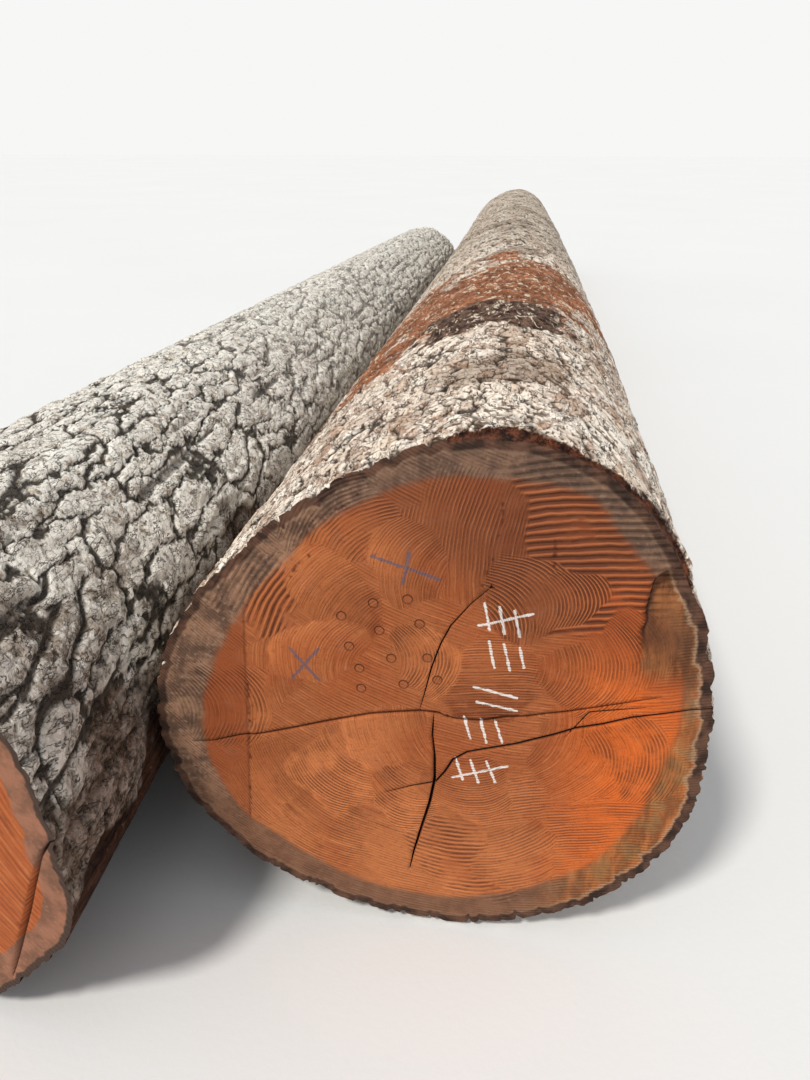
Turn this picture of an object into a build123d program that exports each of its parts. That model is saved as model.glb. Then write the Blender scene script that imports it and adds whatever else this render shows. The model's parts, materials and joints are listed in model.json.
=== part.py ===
from build123d import *
from dataclasses import dataclass
import math
import os

# Two hardwood logs, felled and cut to length with a chainsaw, lie side by side on the ground.
# Each log is one solid: a tapered, slightly bowed and fluted bole with a saw cut at both ends.
# X runs to the right across the stack, Y along the logs away from the near ends, and Z is up.
# Lengths are in millimetres and angles in degrees.
# On a sawn end, a point is (across, up) from the heart: across to the right, as seen by someone facing it.

# Right-hand log
RIGHT_LENGTH = 10250.0
RIGHT_NEAR_RADIUS = 568.0
RIGHT_FAR_RADIUS = 478.0
RIGHT_SWELL = 0.0
RIGHT_BOW = 35.0
RIGHT_NEAR_LEAN = -1.6
RIGHT_NEAR_SKEW = 0.0
RIGHT_FAR_SKEW = 2.5
# Flutes of the bole at its near end: how many there are round it, their height, and where the first stands.
RIGHT_FLUTES = [(1, 5.6, 140.0), (2, 20.7, 44.5), (3, 30.3, 72.0), (4, 4.4, -15.5), (5, 2.8, 1.4)]
# Ridges of bark that run along the log, and the depth of the furrows between them.
RIGHT_RIDGES = 34
RIGHT_FURROW = 5.0

# Left-hand log
LEFT_LENGTH = 8350.0
LEFT_NEAR_RADIUS = 470.0
LEFT_FAR_RADIUS = 356.0
LEFT_SWELL = 28.0
LEFT_BOW = -20.0
LEFT_NEAR_LEAN = 0.0
LEFT_NEAR_SKEW = -10.7
LEFT_FAR_SKEW = -3.0
LEFT_FLUTES = [(3, 6.0, 105.0), (8, 13.0, 28.0)]
LEFT_RIDGES = 30
LEFT_FURROW = 11.0

# How the two lie: the left log points a little to the right, its near end stands forward of the other's,
# and it rests against the other log with a hair's breadth between the two solids.
LEFT_YAW = 1.35
LEFT_FORWARD = 300.0
LOG_GAP = 0.4
GAP_TOLERANCE = 0.1

# Form of both boles: how soon the flutes and the swell of the butt fade, what is left of the flutes, how far a
# furrow strays to either side as a share of a ridge's width, in steps from ridge to ridge and along the log, how
# much of a ridge's width each of its two slopes takes up, and how finely the form is described, with its
# cross-sections closer together towards the near end.
FLUTE_FADE_LENGTH = 3800.0
SWELL_FADE_LENGTH = 260.0
FLUTE_FAR_SHARE = 0.35
FURROW_STRAY = 0.24
STRAY_PER_RIDGE = 137.5
STRAY_PER_STATION = 70.0
FURROW_SHARE = 0.2
RIM_ARCS = 24
STATION_COUNT = 13
STATION_CROWDING = 1.4
TRIM_LENGTH = 300.0

# Splits in a sawn end, each with its route from its widest end to its tip, its opening there and its depth
RIGHT_SPLITS = [
    ([(14, 6), (-86, 6), (-242, -34), (-413, -80), (-512, -106)], 6.0, 170.0),
    ([(0, 10), (56, 0), (126, 12), (256, 38), (423, 84)], 9.0, 190.0),
    ([(-6, 8), (-10, -92), (-8, -170), (-31, -280), (-56, -400)], 4.0, 120.0),
    ([(-8, 6), (-16, 114), (19, 209), (94, 298)], 3.0, 90.0),
    ([(-8, -157), (31, -98), (106, -63), (267, 0), (428, 48), (528, 70)], 5.0, 70.0),
]
LEFT_SPLITS = [
    ([(314, -346), (363, -220), (397, -138), (418, -82), (455, 6), (486, 50)], 14.0, 200.0),
    ([(-20, 10), (-110, 60), (-250, 96)], 5.0, 110.0),
]
FAR_SPLITS = [
    ([(-190, -48), (-60, 8), (40, -6), (210, 60)], 6.0, 150.0),
    ([(20, 0), (52, -110), (40, -230)], 4.0, 110.0),
]
SPLIT_TIP_WIDTH = 1.2
SPLIT_FLOOR_SHARE = 0.35

# On the right log's near end, a strip on the left was cut a little deeper, up to a nearly upright step.
STRIP_ACROSS = 392.0
STRIP_LEAN = 2.4
STRIP_DEPTH = 5.0
# Where the bar broke out at the right-hand rim, it left a gouge that is deepest at its round top.
GOUGE_RADIUS = 78.0
GOUGE_ACROSS = 446.0
GOUGE_UP = 286.0
GOUGE_HEIGHT = 300.0
GOUGE_DEPTH = 26.0
# Bark is torn off a stretch of the same rim, between two directions from the heart.
TORN_BARK_FROM = 42.0
TORN_BARK_TO = 86.0
TORN_BARK_THICKNESS = 30.0
TORN_BARK_LENGTH = 42.0


RIM_DIRECTIONS = [180 * step / RIM_ARCS for step in range(2 * RIM_ARCS)]


def arc_outline(points):
    """Face inside a closed outline of arcs, each through three of the points and ending where the next one starts."""
    arcs = []
    for start in range(0, len(points), 2):
        arcs.append(ThreePointArc(points[start], points[start + 1], points[(start + 2) % len(points)]))
    return make_face(arcs)


@dataclass
class Bole:
    """Form of one log. Distances run from its near end, directions anticlockwise from the right."""

    length: float
    near_radius: float
    far_radius: float
    swell: float
    bow: float
    flutes: list
    ridges: int
    furrow: float

    def radius(self, distance, direction):
        """Radius in one direction from the heart."""
        from_end = max(distance, 0)
        fluting = FLUTE_FAR_SHARE + (1 - FLUTE_FAR_SHARE) * math.exp(-from_end / FLUTE_FADE_LENGTH)
        wave = sum(height * math.cos(math.radians(count * (direction - first))) for count, height, first in self.flutes)
        taper = (self.far_radius - self.near_radius) * distance / self.length
        return self.near_radius + taper + fluting * wave + self.swell * math.exp(-from_end / SWELL_FADE_LENGTH)

    def heart(self, distance):
        """Place of the heart, with the underside of the log on the ground."""
        along = distance / self.length
        drops = [self.radius(distance, below) * math.sin(math.radians(below)) for below in range(180, 361)]
        return (4 * self.bow * along * (1 - along), distance, -min(drops))

    def furrow_direction(self, ridge, station):
        """Direction of the furrow before one ridge, at one cross-section."""
        count = ridge % self.ridges
        stray = FURROW_STRAY * math.sin(math.radians(STRAY_PER_RIDGE * count + STRAY_PER_STATION * station))
        return 360 / self.ridges * (ridge + stray)

    def skin(self, distance, station):
        """Points of the outer surface: for each ridge, the furrow before it and both edges of its flat crest."""
        aside, along, up = self.heart(distance)
        points = []
        for ridge in range(self.ridges):
            before = self.furrow_direction(ridge, station)
            width = self.furrow_direction(ridge + 1, station) - before
            for share, depth in ((0, self.furrow), (FURROW_SHARE, 0), (1 - FURROW_SHARE, 0)):
                direction = before + share * width
                reach = self.radius(distance, direction) - depth
                turn = math.radians(direction)
                points.append((aside + reach * math.cos(turn), along, up + reach * math.sin(turn)))
        return points

    def trunk(self):
        """Solid lofted straight from each cross-section to the next, longer than the log at both ends."""
        sections = []
        for station in range(STATION_COUNT):
            share = (station / (STATION_COUNT - 1)) ** STATION_CROWDING
            distance = share * (self.length + 2 * TRIM_LENGTH) - TRIM_LENGTH
            sections.append(make_face(Polyline(*self.skin(distance, station), close=True)))
        return loft(sections, ruled=True)

    def near_cut(self, lean, skew):
        """Plane of the saw cut at the near end, facing out of the log."""
        return Plane(origin=self.heart(0), x_dir=(1, 0, 0), z_dir=(0, -1, 0)).rotated((lean, 0, skew))

    def far_cut(self, skew):
        """Plane of the saw cut at the far end, facing out of the log."""
        return Plane(origin=self.heart(self.length), x_dir=(-1, 0, 0), z_dir=(0, 1, 0)).rotated((0, 0, skew))


RIGHT = Bole(
    RIGHT_LENGTH,
    RIGHT_NEAR_RADIUS,
    RIGHT_FAR_RADIUS,
    RIGHT_SWELL,
    RIGHT_BOW,
    RIGHT_FLUTES,
    RIGHT_RIDGES,
    RIGHT_FURROW,
)
LEFT = Bole(
    LEFT_LENGTH,
    LEFT_NEAR_RADIUS,
    LEFT_FAR_RADIUS,
    LEFT_SWELL,
    LEFT_BOW,
    LEFT_FLUTES,
    LEFT_RIDGES,
    LEFT_FURROW,
)


def one_side(route, widths):
    """A split's route, moved aside by half its width at each point."""
    moved = []
    for index, (across, up) in enumerate(route):
        before = route[max(index - 1, 0)]
        after = route[min(index + 1, len(route) - 1)]
        share = widths[index] / 2 / math.dist(before, after)
        moved.append((across + (before[1] - after[1]) * share, up + (after[0] - before[0]) * share))
    return moved


def split_wedge(cut, route, opening, depth):
    """Wedge-shaped crack in a sawn end: wide where it starts and at the face, thin at its tip and its floor."""
    last = len(route) - 1
    widths = [SPLIT_TIP_WIDTH + (opening - SPLIT_TIP_WIDTH) * (1 - index / last) for index in range(last + 1)]
    rings = []
    for share, level in ((1.0, depth * 0.02), (SPLIT_FLOOR_SHARE, -depth)):
        narrowed = [width * share for width in widths]
        loop = one_side(route, narrowed) + one_side(route, [-width for width in narrowed])[::-1]
        corners = [cut.from_local_coords((across, up, level)) for across, up in loop]
        rings.append(make_face(Polyline(*corners, close=True)))
    return loft(rings, ruled=True)


def deeper_strip(cut):
    """Slab of wood, left of the nearly upright step, that the second pass of the saw took away."""
    reach = 3 * RIGHT_NEAR_RADIUS
    slab = Box(reach, reach, 4 * STRIP_DEPTH, align=(Align.MAX, Align.CENTER, Align.MIN))
    return cut.location * Pos(-STRIP_ACROSS, 0, -STRIP_DEPTH) * Rot(0, 0, -STRIP_LEAN) * slab


def gouge(cut):
    """Space cleared at the rim: an arc on the heart side, open to the right, with a floor that rises to the face."""
    slope = math.degrees(math.atan2(GOUGE_DEPTH, GOUGE_HEIGHT))
    arc_up = GOUGE_HEIGHT - GOUGE_RADIUS
    reach = RIGHT_NEAR_RADIUS
    below = Pos(-GOUGE_RADIUS, 0) * Rectangle(reach, arc_up, align=Align.MIN)
    beside = Pos(0, arc_up) * Rectangle(reach, GOUGE_RADIUS, align=Align.MIN)
    shape = Pos(0, arc_up) * Circle(GOUGE_RADIUS) + below + beside
    foot = Pos(GOUGE_ACROSS, GOUGE_UP - arc_up, 0)
    return extrude(cut.location * foot * Rot(-slope, 0, 0) * shape, 4 * GOUGE_DEPTH)


def rim_ring(inset):
    """Face inside the rim of the right log's near end, moved in by some depth, as drawn on its cut."""
    corners = []
    for direction in RIM_DIRECTIONS:
        reach = RIGHT.radius(0, direction) - inset
        corners.append((reach * math.cos(math.radians(direction)), reach * math.sin(math.radians(direction))))
    return arc_outline(corners)


def torn_bark(cut):
    """Sector of the bark ring that is missing at the rim of the near end."""
    sector = [(0.0, 0.0)]
    for direction in (TORN_BARK_FROM, (TORN_BARK_FROM + TORN_BARK_TO) / 2, TORN_BARK_TO):
        turn = math.radians(direction)
        sector.append((2 * RIGHT_NEAR_RADIUS * math.cos(turn), 2 * RIGHT_NEAR_RADIUS * math.sin(turn)))
    ring = rim_ring(-TORN_BARK_THICKNESS) - rim_ring(TORN_BARK_THICKNESS)
    shape = ring & make_face(Polyline(*sector, close=True))
    return extrude(cut.location * Pos(0, 0, -TORN_BARK_LENGTH) * shape, 2 * TORN_BARK_LENGTH)


def sawn_log(form, near_cut, far_cut, near_losses, near_splits):
    """A bole sawn off at both planes, without what its near end has lost, and split at both ends."""
    log = split(form.trunk(), bisect_by=near_cut, keep=Keep.BOTTOM)
    log = split(log, bisect_by=far_cut, keep=Keep.BOTTOM)
    for loss in near_losses:
        log = log - loss
    log = log - [split_wedge(near_cut, *crack) for crack in near_splits]
    return log - [split_wedge(far_cut, *crack) for crack in FAR_SPLITS]


def right_log():
    """The large log, with the saw marks and the torn bark of its near end."""
    near_cut = RIGHT.near_cut(RIGHT_NEAR_LEAN, RIGHT_NEAR_SKEW)
    losses = [deeper_strip(near_cut), gouge(near_cut), torn_bark(near_cut)]
    return sawn_log(RIGHT, near_cut, RIGHT.far_cut(RIGHT_FAR_SKEW), losses, RIGHT_SPLITS)


def left_log():
    """The smaller log, with its near end sawn at a slant, in line with the other and not yet beside it."""
    near_cut = LEFT.near_cut(LEFT_NEAR_LEAN, LEFT_NEAR_SKEW)
    return sawn_log(LEFT, near_cut, LEFT.far_cut(LEFT_FAR_SKEW), [], LEFT_SPLITS)


def lay_down(log):
    """Lowers or lifts a log until it lies on the ground."""
    return Pos(0, 0, -log.bounding_box().min.Z) * log


def lay_against(log, other):
    """Slides a log to the right until it rests against the other."""
    gap = log.distance_to(other)
    while gap > LOG_GAP + GAP_TOLERANCE:
        log = Pos(gap - LOG_GAP, 0, 0) * log
        gap = log.distance_to(other)
    return log


right = lay_down(right_log())
start_apart = 1.3 * (RIGHT_NEAR_RADIUS + LEFT_NEAR_RADIUS)
left = lay_down(Rot(0, 0, -LEFT_YAW) * left_log())
left = lay_against(Pos(-start_apart, -LEFT_FORWARD, 0) * left, right)

box = Compound([right, left]).bounding_box()
to_origin = Pos(-box.center().X, -box.center().Y, -box.min.Z)
os.makedirs("parts", exist_ok=True)
export_step(to_origin * right, "parts/log_right.step")
export_step(to_origin * left, "parts/log_left.step")
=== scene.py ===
import json
import math
import bpy
import numpy as np
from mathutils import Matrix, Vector
from mathutils.bvhtree import BVHTree
from mathutils.geometry import delaunay_2d_cdt


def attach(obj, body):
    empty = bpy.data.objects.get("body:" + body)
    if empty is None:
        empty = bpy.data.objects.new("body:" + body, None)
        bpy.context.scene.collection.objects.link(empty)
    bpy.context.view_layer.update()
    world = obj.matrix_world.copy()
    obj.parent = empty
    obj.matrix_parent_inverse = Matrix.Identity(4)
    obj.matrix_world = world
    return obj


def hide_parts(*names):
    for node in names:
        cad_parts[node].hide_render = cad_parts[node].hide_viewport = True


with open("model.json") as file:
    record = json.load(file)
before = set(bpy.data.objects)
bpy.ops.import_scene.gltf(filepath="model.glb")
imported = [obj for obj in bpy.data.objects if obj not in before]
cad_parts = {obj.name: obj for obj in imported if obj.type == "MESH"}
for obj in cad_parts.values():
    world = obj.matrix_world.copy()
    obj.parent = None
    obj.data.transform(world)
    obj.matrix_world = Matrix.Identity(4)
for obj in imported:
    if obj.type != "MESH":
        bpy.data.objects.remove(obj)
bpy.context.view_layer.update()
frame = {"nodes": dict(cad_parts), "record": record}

TURN = 2 * math.pi
MM = 0.001

# The camera of the photograph
CAMERA_PLACE = (0.6125, -6.3346, 1.6)
CAMERA_TURN = (math.radians(64.807), 0.0, math.radians(7.185))
CAMERA_LENS = 29.0

camera_data = bpy.data.cameras.new("camera")
camera_data.lens = CAMERA_LENS
camera_data.sensor_width = 36.0
camera_data.clip_end = 200.0
camera = bpy.data.objects.new("camera", camera_data)
camera.location = CAMERA_PLACE
camera.rotation_euler = CAMERA_TURN
bpy.context.scene.collection.objects.link(camera)
bpy.context.scene.camera = camera
bpy.context.scene.view_settings.view_transform = "Standard"


# Noise that is the same in every run, and closes on itself round a log


def scatter(i, j, seed):
    """A number from 0 to 1 for each cell of a lattice."""
    wave = np.sin(i * 127.1 + j * 311.7 + seed * 74.7) * 43758.5453
    return wave - np.floor(wave)


def blend_in(x, low, high):
    """Rises smoothly from 0 at low to 1 at high."""
    share = np.clip((x - low) / (high - low), 0.0, 1.0)
    return share * share * (3.0 - 2.0 * share)


def cloud(u, v, period, seed):
    """Smooth noise from -1 to 1; u closes on itself after period cells."""
    i = np.floor(u)
    j = np.floor(v)
    a = blend_in(u - i, 0.0, 1.0)
    b = blend_in(v - j, 0.0, 1.0)
    i0 = np.mod(i, period)
    i1 = np.mod(i + 1, period)
    low = scatter(i0, j, seed) * (1 - a) + scatter(i1, j, seed) * a
    high = scatter(i0, j + 1, seed) * (1 - a) + scatter(i1, j + 1, seed) * a
    return 2.0 * (low * (1 - b) + high * b) - 1.0


def layered_cloud(u, v, period, seed, layers=3):
    """Noise with finer and weaker noise on top of it."""
    total = 0.0
    for k in range(layers):
        total = total + cloud(u * 2**k, v * 2**k, period * 2**k, seed + k) * 0.5**k
    return total / 1.75


def plates(u, v, period, seed):
    """Cracked plates: distance to the nearest crack, and two numbers of the plate's own."""
    i = np.floor(u)
    j = np.floor(v)
    first = np.full(u.shape, 9.0)
    second = np.full(u.shape, 9.0)
    own = np.zeros(u.shape)
    other = np.zeros(u.shape)
    for di in (-1, 0, 1):
        for dj in (-1, 0, 1):
            ci = np.mod(i + di, period)
            cj = j + dj
            pu = i + di + 0.5 + 0.8 * (scatter(ci, cj, seed) - 0.5)
            pv = cj + 0.5 + 0.8 * (scatter(ci, cj, seed + 31) - 0.5)
            gap = np.hypot(u - pu, v - pv)
            nearer = gap < first
            second = np.where(nearer, first, np.minimum(second, gap))
            own = np.where(nearer, scatter(ci, cj, seed + 57), own)
            other = np.where(nearer, scatter(ci, cj, seed + 83), other)
            first = np.where(nearer, gap, first)
    return second - first, own, other


# The sawn ends and the boles, read from the CAD model


class Cut:
    """The plane of a sawn end; across is level and to the right, up is in the plane."""

    def __init__(self, mount_name, heart_x, heart_z):
        mount = next(m for m in frame["record"]["mounts"] if m["name"] == mount_name)
        self.out = np.array(mount["axis"])
        self.out = self.out / np.linalg.norm(self.out)
        self.level = float(np.dot(self.out, mount["pos_m"]))
        across = np.array([-self.out[1], self.out[0], 0.0])
        self.across = across / np.linalg.norm(across)
        self.up = np.cross(self.out, self.across)
        self.heart = np.array([heart_x, float(self.y_at(heart_x, heart_z)), heart_z])

    def y_at(self, x, z):
        """The y of the plane above the floor place x and at the height z."""
        return (self.level - self.out[0] * x - self.out[2] * z) / self.out[1]

    def flat(self, x, z):
        """Across and up from the heart, of the point of the plane at x and z."""
        rise = (z - self.heart[2]) / self.up[2]
        run = (x - self.heart[0] - rise * self.up[0]) / self.across[0]
        return run, rise

    def space(self, run, rise, depth):
        """Back from across and up to x, y and z, depth metres into the wood."""
        run = np.asarray(run)[..., None]
        rise = np.asarray(rise)[..., None]
        sink = np.asarray(depth)[..., None]
        return self.heart + run * self.across + rise * self.up - sink * self.out


COLUMNS = 360
RIDGE_HALF = 9


class Bole:
    """One log's own skin: a table of radii along its axis and around it."""

    def __init__(self, node, near, far, length, first_station):
        self.node = node
        self.near = near
        self.far = far
        self.length = length
        mesh = frame["nodes"][node].data
        place = frame["nodes"][node].matrix_world
        points = [place @ v.co for v in mesh.vertices]
        tree = BVHTree.FromPolygons(points, [tuple(p.vertices) for p in mesh.polygons])
        self.stations = np.concatenate(
            ([first_station], np.linspace(first_station + 0.1, length - 0.02, 70))
        )
        self.directions = np.arange(COLUMNS) * TURN / COLUMNS
        table = np.zeros((len(self.stations), len(self.directions)))
        for i, t in enumerate(self.stations):
            for j, direction in enumerate(self.directions):
                table[i, j] = self.look_in(tree, t, direction)
        calm = np.median([np.roll(table, k, axis=1) for k in range(-2, 3)], axis=0)
        table = np.where(np.abs(table - calm) > 0.02, calm, table)
        # The crests of the ridges make the skin, and the furrows lie under it
        window = range(-RIDGE_HALF, RIDGE_HALF + 1)
        crests = np.max([np.roll(table, k, axis=1) for k in window], axis=0)
        crests = np.min([np.roll(crests, k, axis=1) for k in window], axis=0)
        self.radii = np.mean([np.roll(crests, k, axis=1) for k in range(-3, 4)], axis=0)
        self.furrows = np.maximum(self.radii - table, 0.0)

    def centre(self, t):
        share = np.asarray(t) / self.length
        x = self.near.heart[0] * (1 - share) + self.far.heart[0] * share
        z = self.near.heart[2] * (1 - share) + self.far.heart[2] * share
        return x, z

    def y_along(self, x, z, t):
        start = self.near.y_at(x, z)
        end = self.far.y_at(x, z)
        return start + t * (end - start) / self.length

    def look_in(self, tree, t, direction):
        """Distance from the axis to the skin, seen from outside."""
        x, z = self.centre(t)
        side = math.cos(direction)
        rise = math.sin(direction)
        radius = 0.5
        for _ in range(2):
            y = self.y_along(x + radius * side, z + radius * rise, t)
            start = Vector((x + 1.1 * side, y, z + 1.1 * rise))
            hit = tree.ray_cast(start, Vector((-side, 0.0, -rise)))
            if hit[0] is None:
                continue
            radius = 1.1 - hit[3]
        return radius

    def radius(self, t, direction):
        """The skin's radius at any place."""
        return self.read(self.radii, t, direction)

    def furrow(self, t, direction):
        """Depth of the solid's furrows at any place."""
        return self.read(self.furrows, t, direction)

    def read(self, table, t, direction):
        """A value between a table's rows and columns."""
        row = np.interp(t, self.stations, np.arange(len(self.stations)))
        low = np.minimum(row.astype(int), len(self.stations) - 2)
        a = row - low
        column = np.mod(direction, TURN) / TURN * COLUMNS
        left = np.floor(column).astype(int) % COLUMNS
        right = (left + 1) % COLUMNS
        b = column - np.floor(column)
        near = table[low, left] * (1 - b) + table[low, right] * b
        far = table[low + 1, left] * (1 - b) + table[low + 1, right] * b
        return near * (1 - a) + far * a

    def skin(self, t, direction, sink):
        """Points of the bark, sink metres below the CAD skin."""
        x, z = self.centre(t)
        radius = self.radius(t, direction) - sink
        x = x + radius * np.cos(direction)
        z = z + radius * np.sin(direction)
        return x, self.y_along(x, z, t), z


RIGHT = Bole(
    "log_right",
    Cut("right_near_end", 0.50246, 0.54876),
    Cut("right_far_end", 0.50246, 0.47023),
    10.25,
    0.06,
)
LEFT = Bole(
    "log_left",
    Cut("left_near_end", -0.57492, 0.49616),
    Cut("left_far_end", -0.37819, 0.35331),
    8.35,
    0.012,
)


# Relief of the sawn faces, in millimetres across and up from the heart


def along_line(u, v, line):
    """Distance to a line of points, and the share of its length at the nearest place."""
    best = np.full(np.shape(u), 1e9)
    share = np.zeros(np.shape(u))
    lengths = [math.dist(a, b) for a, b in zip(line, line[1:])]
    whole = sum(lengths)
    done = 0.0
    for (au, av), (bu, bv), length in zip(line, line[1:], lengths):
        h = ((u - au) * (bu - au) + (v - av) * (bv - av)) / length**2
        h = np.clip(h, 0.0, 1.0)
        gap = np.hypot(u - au - h * (bu - au), v - av - h * (bv - av))
        nearer = gap < best
        best = np.where(nearer, gap, best)
        share = np.where(nearer, (done + h * length) / whole, share)
        done += length
    return best, share


# Each split: its line, its width in the middle, and its depth
RIGHT_CRACKS = [
    ([(-510, -108), (-470, -102), (-413, -83), (-361, -71), (-301, -53), (-242, -34), (-184, -16),
      (-135, -2), (-86, 6), (-38, 13), (-2, 12), (17, 2), (56, 0), (88, 1), (126, 12), (169, 18),
      (211, 29), (256, 39), (423, 84)], 9.0, 55.0),
    ([(-10, 9), (-12, -43), (-7, -92), (-6, -157), (-15, -215), (-31, -280), (-47, -348),
      (-56, -400)], 7.5, 45.0),
    ([(-38, 15), (-27, 63), (-16, 114), (1, 169), (19, 209), (55, 258), (94, 298)], 4.0, 20.0),
    ([(-103, -193), (-53, -172), (-3, -157), (16, -129), (31, -98), (59, -77), (106, -63),
      (153, -49), (192, -33), (229, -18), (267, 0), (319, 15), (370, 34), (428, 48), (478, 62),
      (535, 71)], 8.0, 12.0),
    ([(250, -20), (290, 40), (400, 60)], 4.0, 6.0),
]
RIGHT_STEPS = [
    ([(-387, 210), (-383, 94), (-389, -49), (-404, -301)], 5.0, 5.0),
    ([(-139, 507), (-147, 477), (-165, 449), (-210, 428), (-237, 410), (-249, 386),
      (-254, 354)], 4.0, 3.0),
    ([(-247, 338), (-275, 316), (-288, 286), (-291, 256)], 4.0, 2.5),
    ([(99, 504), (106, 429), (92, 358), (76, 301), (62, 267)], 4.0, 2.5),
    ([(199, 396), (205, 317)], 4.0, 2.0),
]
LEFT_CRACKS = [
    ([(314, -346), (363, -220), (397, -138), (418, -82), (455, 6), (486, 50)], 14.0, 60.0),
    ([(-20, 10), (-120, 60), (-260, 90), (-360, 150)], 8.0, 40.0),
]
GOUGE = (446, 286)
GOUGE_RADIUS = 78
GOUGE_HEIGHT = 300
GOUGE_DEPTH = 24 * MM
STRIP_LINE = -392
STRIP_LEAN = math.tan(math.radians(2.4))
STRIP_DEPTH = 4.5 * MM


def split_depth(u, v, splits):
    """How deep the splits are at each place, and how far down their walls it is."""
    depth = np.zeros(np.shape(u))
    inside = np.zeros(np.shape(u))
    for line, width, deep in splits:
        gap, share = along_line(u, v, line)
        taper = np.clip(4.0 * share * (1.0 - share), 0.0, 1.0) ** 0.5
        half = width / 2 * np.maximum(taper, 0.1)
        down = np.clip(1.0 - gap / half, 0.0, 1.0)
        depth = np.maximum(depth, down * deep * MM * np.maximum(taper, 0.15))
        inside = np.maximum(inside, down)
    return depth, inside


def gouge_inside(u, v):
    """Millimetres inside the gouge's edge: round at its top, open to the right and below."""
    round_top = GOUGE_RADIUS - np.hypot(u - GOUGE[0], v - GOUGE[1])
    upright = u - GOUGE[0] + GOUGE_RADIUS
    inside = np.where(v > GOUGE[1], round_top, upright)
    inside = np.where((u > GOUGE[0]) & (v > GOUGE[1]), GOUGE[1] + GOUGE_RADIUS - v, inside)
    return inside + 5 * cloud(u / 22 + 9, v / 22 + 9, 4000, 5)


def gouge_share(v):
    """The gouge's floor rises from its top down to the face."""
    return np.clip((v - GOUGE[1] - GOUGE_RADIUS) / GOUGE_HEIGHT + 1.0, 0.0, 1.0)


def right_relief(u, v):
    """Metres that the right face lies behind its plane, without its splits."""
    wave = 0.7 * cloud(u / 130 + 20, v / 130 + 20, 4000, 3) + 0.3 * cloud(u / 45 + 60, v / 45 + 60, 4000, 4)
    depth = 1.6 * MM * (1.0 + wave)
    strip = blend_in(STRIP_LINE + STRIP_LEAN * v - u, -7.0, 7.0)
    depth = depth + STRIP_DEPTH * strip
    depth = depth + GOUGE_DEPTH * blend_in(gouge_inside(u, v), -1.0, 7.0) * gouge_share(v)
    return depth


def left_relief(u, v):
    wave = cloud(u / 120 + 20, v / 120 + 20, 4000, 13)
    return 1.5 * MM * (1.0 + wave)


def far_relief(u, v):
    wave = cloud(u / 90 + 20, v / 90 + 20, 4000, 23)
    return 2.0 * MM * (1.0 + wave)


# Bark


def terraces(height, count):
    """Turns a smooth height from 0 to 1 into steps; also the foot of each step, where the barks paint shade."""
    level = np.clip(height, 0.0, 0.999) * count
    part = level - np.floor(level)
    return (np.floor(level) + blend_in(part, 0.0, 0.3)) / count, 1.0 - blend_in(part, 0.0, 0.35)


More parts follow.
